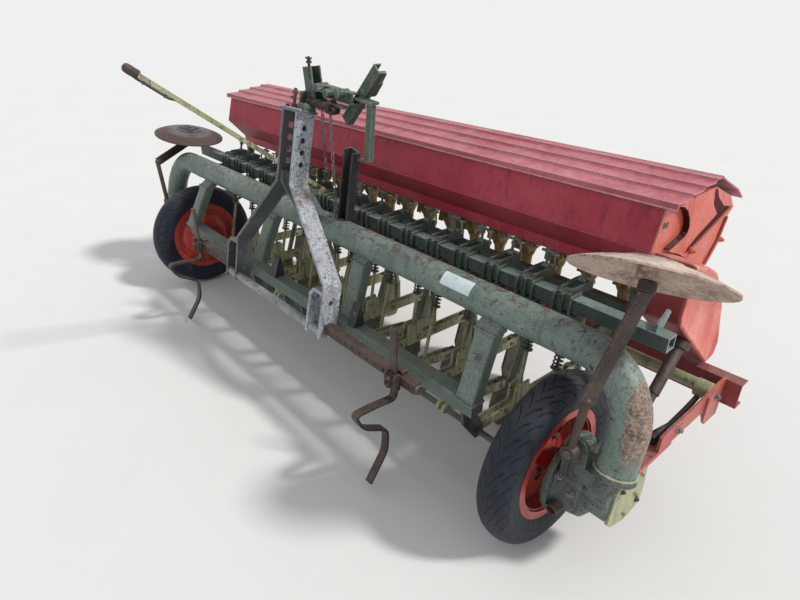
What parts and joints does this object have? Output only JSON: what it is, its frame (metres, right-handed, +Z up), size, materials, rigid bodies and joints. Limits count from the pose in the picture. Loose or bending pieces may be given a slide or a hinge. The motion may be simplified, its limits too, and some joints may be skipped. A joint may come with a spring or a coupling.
{
  "type": "mounted seed drill",
  "caption": "Three-point mounted mechanical seed drill with long hopper, spring-pressed coulters, two carrying wheels and folding marker discs.",
  "frame": {"origin": "on the ground under the middle of the overall box", "axes": "+X along the machine towards its drive end, -Y towards the tractor, +Z up"},
  "size_m": [3.7045, 1.568, 1.5368],
  "materials": {
    "beam_red": "weathered paint",
    "black_paint": "paint",
    "bright_steel": "worn",
    "dark_green": "weathered paint",
    "dark_steel": "worn paint",
    "end_red": "weathered paint",
    "frame_green": "weathered paint",
    "hopper_red": "weathered paint",
    "lime_green": "weathered paint",
    "meter_brown": "dusty",
    "rim_red": "faded paint",
    "rusty_disc": "rust",
    "rusty_steel": "rust",
    "spring_steel": "weathered paint",
    "tube_green": "weathered paint",
    "tyre": "weathered rubber",
    "worn_silver": "worn paint"
  },
  "bodies": {
    "frame": {"main_tube": "frame_green", "struts": "frame_green", "lower_beam": "frame_green", "axle_casting_left": "frame_green", "axle_casting_right": "frame_green", "headstock_left": "dark_steel", "headstock_right": "worn_silver", "hitch_crossbar": "worn_silver", "headstock_top": "dark_steel", "top_screw": "rusty_steel", "changeover": "frame_green", "post": "black_paint", "chains": "bright_steel", "tine_bar": "rusty_steel", "tine_left": "rusty_steel", "tine_right": "rusty_steel", "beam_brackets": "black_paint", "hopper_front": "hopper_red", "hopper_rear": "hopper_red", "hopper_end_left": "end_red", "hopper_end_right": "end_red", "hopper_beam": "dark_green", "hopper_brackets": "frame_green", "gear_cover": "end_red", "metering_units": "meter_brown", "feed_shaft": "bright_steel", "pressure_bar": "dark_green", "row_clamps": "frame_green", "springs": "spring_steel", "seed_tubes": "tube_green", "arms_front": "lime_green", "arms_rear": "lime_green", "shoes_front": "lime_green", "shoes_rear": "lime_green", "coulter_rail": "dark_green", "cross_tube": "lime_green", "drive_shaft": "dark_steel", "side_bar_left": "end_red", "side_bar_right": "end_red", "rear_beam": "beam_red", "lever": "lime_green"},
    "wheel_left": {"tyre_left": "tyre", "rim_left": "rim_red"},
    "wheel_right": {"tyre_right": "tyre", "rim_right": "rim_red"},
    "lid": {"lid": "hopper_red"},
    "marker_arm_left": {"marker_arm_left": "rusty_steel"},
    "marker_arm_right": {"marker_arm_right": "rusty_steel"},
    "marker_disc_left": {"marker_disc_left": "rusty_disc"},
    "marker_disc_right": {"marker_disc_right": "rusty_disc"}
  },
  "joints": [
    {"name": "wheel_left_spin", "type": "hinge", "parent": "frame", "child": "wheel_left", "pos_m": [-1.42, -0.12, 0.33], "axis": [1, 0, 0], "continuous": true},
    {"name": "wheel_right_spin", "type": "hinge", "parent": "frame", "child": "wheel_right", "pos_m": [1.42, -0.12, 0.33], "axis": [1, 0, 0], "continuous": true},
    {"name": "lid_hinge", "type": "hinge", "parent": "frame", "child": "lid", "pos_m": [0, 0.773, 1.092], "axis": [-1, 0, 0], "range_deg": [0, 105]},
    {"name": "marker_left_fold", "type": "hinge", "parent": "frame", "child": "marker_arm_left", "pos_m": [-1.575, -0.265, 0.545], "axis": [0, -1, 0], "range_deg": [0, 95]},
    {"name": "marker_disc_left_spin", "type": "hinge", "parent": "marker_arm_left", "child": "marker_disc_left", "pos_m": [-1.64, -0.018, 0.941], "axis": [0.1581, 0.1, 0.9823], "continuous": true},
    {"name": "marker_right_fold", "type": "hinge", "parent": "frame", "child": "marker_arm_right", "pos_m": [1.575, -0.265, 0.545], "axis": [0, 1, 0], "range_deg": [0, 95]},
    {"name": "marker_disc_right_spin", "type": "hinge", "parent": "marker_arm_right", "child": "marker_disc_right", "pos_m": [1.64, -0.14, 1.112], "axis": [-0.158, 0.5041, 0.8491], "continuous": true}
  ]
}
